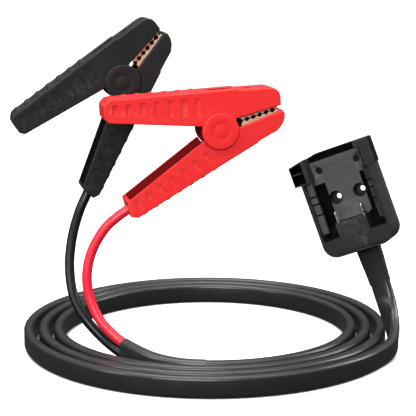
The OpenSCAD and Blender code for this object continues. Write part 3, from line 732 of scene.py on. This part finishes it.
def make_clamp(side, grip, inside):
    place, slot, body = CLAMPS[side], side + "_grip_plastic", side + "_upper"
    shell = [(on_outline, 1.0 * MM, 3), (any_edge, 0.22 * MM, 2)]
    for level, rides in (("upper", body), ("lower", "root")):
        half = rounded_copy(f"{side}_{level}_grip", f"{side}_{level}_shell", grip, rides,
                            slot, place, shell)
        # the faces that look into the hollow get the painted shade material
        refinish(half, place, inside, HOLLOWS[level])
    for way, face in ((-1, "front"), (1, "back")):
        make_disc(f"{side}_{face}_disc", place, way, grip, slot, f"{side}_{face}_cap")
    fine = [(any_edge, 0.12 * MM, 2)]
    for level, rides in (("upper", body), ("lower", "root")):
        teeth = rounded_copy(f"{side}_{level}_teeth", f"{side}_{level}_jaw", COPPER, rides,
                             "copper", place, fine)
        # the jaw faces inside the channel get the painted shade copper
        refinish(teeth, place, COPPER_SHADE, in_channel)
        finish_node(f"{side}_{level}_jaw_screws", ZINC)
    rounded_copy(side + "_lead_lug", side + "_cable_lug", COPPER, "root", "copper", place, fine)
    finish_node(side + "_pivot_pin", ZINC)
    make_spring(side + "_spring", place, side + "_torsion_spring")
    make_braid(side + "_braid", place, side + "_jaw_braid")


def finish_node(node, material):
    """A CAD node that stays, in its own finish."""
    slots = NODES[node].material_slots
    if not slots:
        NODES[node].data.materials.append(material)
    for slot in slots:
        slot.material = material


# ---- Dock ----

def on_dock_rim(edge, back):
    """True on the dock's outer front and back rims."""
    spots = [back @ v.co for v in edge.verts]
    depth = [s.y for s in spots]
    level = max(depth) - min(depth) < 0.01 * MM
    at_end = abs(depth[0]) < 0.05 * MM or abs(depth[0] - DOCK_DEEP) < 0.05 * MM
    outer = all(abs(s.x) > 29.4 * MM or s.z < 11.1 * MM or s.z > 83.4 * MM for s in spots)
    return level and at_end and outer and edge.is_convex


def on_deck(at, way):
    return way.y < -0.9 and abs(at.y - DECK_AT) < 0.3 * MM


def on_left_rail(at, way):
    x, y, z = at / MM
    return way.y < -0.9 and 4 < y < 12.5 and -27.5 < x < -15 and 12 < z < 60


def in_pocket(at, way):
    """True in the ear pockets, the rail channels and the lower pockets, which get painted
    shade.
    """
    x, y, z = at / MM
    ear = 63.5 < z < 83 and abs(x) > 22.1 and 0.3 < y < 11 and not way.y < -0.5
    floor = way.y < -0.5 and (9.5 < y < 10.5 and z > 63 or 17.5 < y < 18.5)
    channel = 14 < z < 60 and abs(x) > 14.9 and 9.2 < y < 18.2 and abs(x) < 27.2
    return ear or floor or channel


def make_boot():
    """The rubber strain relief, from inside the dock down round the flat cable."""
    route = smooth_route(RISER_ROUTE[:5], 6)
    route = [DOCK @ mm(0, 19, 6.3)] + route[:-8]
    last = len(route) - 1
    sides = [DOCK_SIDE] * (last + 1)
    scales = []
    for i in range(last + 1):
        t = ease(min(1, max(0, (i - 2) / (last - 2))))
        scales.append((1 - 0.135 * t, 1 - 0.22 * t))
    bm = swept(route, sides, round_section(19.8 * MM, 11.6 * MM, 4.2 * MM, 28), scales)
    return add_piece("dock_strain_relief", bm, RUBBER, "root", "gland_rubber",
                     "dock_cable_gland", crease=50)


def make_dock():
    shell = [(on_dock_rim, 0.7 * MM, 3), (any_edge, 0.18 * MM, 2)]
    plain = [(any_edge, 0.2 * MM, 2)]
    for name, node, material, slot, rounds in (
            ("dock_shell", "dock_housing", DOCK_SHELL, "dock_plastic", shell),
            ("dock_cover", "dock_back_cover", DOCK_SHELL, "dock_plastic", shell),
            ("dock_block", "dock_terminal_block", BLOCK, "terminal_block_plastic", plain),
            ("dock_blade_plus", "dock_positive_blade", NICKEL, "nickel_contact", plain),
            ("dock_blade_minus", "dock_negative_blade", NICKEL, "nickel_contact", plain)):
        piece = rounded_copy(name, node, material, "root", slot, DOCK, rounds,
                             merge=name != "dock_shell")
        if name == "dock_shell":
            refinish(piece, DOCK, DOCK_DECK, on_deck)
            refinish(piece, DOCK, DOCK_DECK, on_left_rail)
            # the pockets, channels and recess floors get the painted shade material
            refinish(piece, DOCK, DOCK_PAINTED_SHADE, in_pocket)
    finish_node("dock_screws", OXIDE)
    for way, name, node, material, slot in (
            (1, "dock_core_plus", "dock_positive_wire", RED_JACKET, "red_lead_jacket"),
            (-1, "dock_core_minus", "dock_negative_wire", BLACK_JACKET, "black_lead_jacket")):
        points = [(4, 19, 6.5), (4, 19, 9), (8.1, 10, 14.5), (8.1, 8, 16)]
        route = smooth_route([DOCK @ mm(way * x, y, z) for x, y, z in points], 6)
        bm = swept(route, [DOCK_SIDE] * len(route),
                   round_section(5 * MM, 5 * MM, 2.5 * MM, 16))
        add_piece(name, bm, material, "root", slot, node, crease=60)


# ---- Floor ----

def make_floor():
    bm = bmesh.new()
    bmesh.ops.create_grid(bm, x_segments=8, y_segments=8, size=14)
    mesh = bpy.data.meshes.new("studio_floor")
    bm.to_mesh(mesh)
    bm.free()
    floor = bpy.data.objects.new("studio_floor", mesh)
    bpy.context.scene.collection.objects.link(floor)
    floor.location.z = -0.0004
    floor.visible_diffuse = False
    floor.visible_glossy = False
    material, tree, shader = start_material(
        "pale_floor", {"Specular IOR Level": 0.1, "Emission Strength": 0.6})
    tone = place_noise(tree, object_vector(tree), 3.0)
    # painted shadow: the floor's colour and glow fade to near black where ambient occlusion
    # finds things close by
    closed = tree.nodes.new("ShaderNodeAmbientOcclusion")
    closed.inputs["Distance"].default_value = 0.02
    closed.samples = 8
    free = place_range(tree, closed.outputs["AO"], 0.15, 0.6)
    for socket in ("Base Color", "Emission Color"):
        pale = place_mix(tree, tone, (0.93, 0.93, 0.93), (0.95, 0.95, 0.95))
        tree.links.new(place_mix(tree, free, (0.01, 0.01, 0.01), pale), shader.inputs[socket])
    shader.inputs["Roughness"].default_value = 0.8
    mesh.materials.append(material)


set_camera()
make_cords()
make_clamp("red", RED_GRIP, RED_PAINTED_SHADE)
make_clamp("black", BLACK_GRIP, BLACK_PAINTED_SHADE)
make_dock()
make_floor()
light_studio()
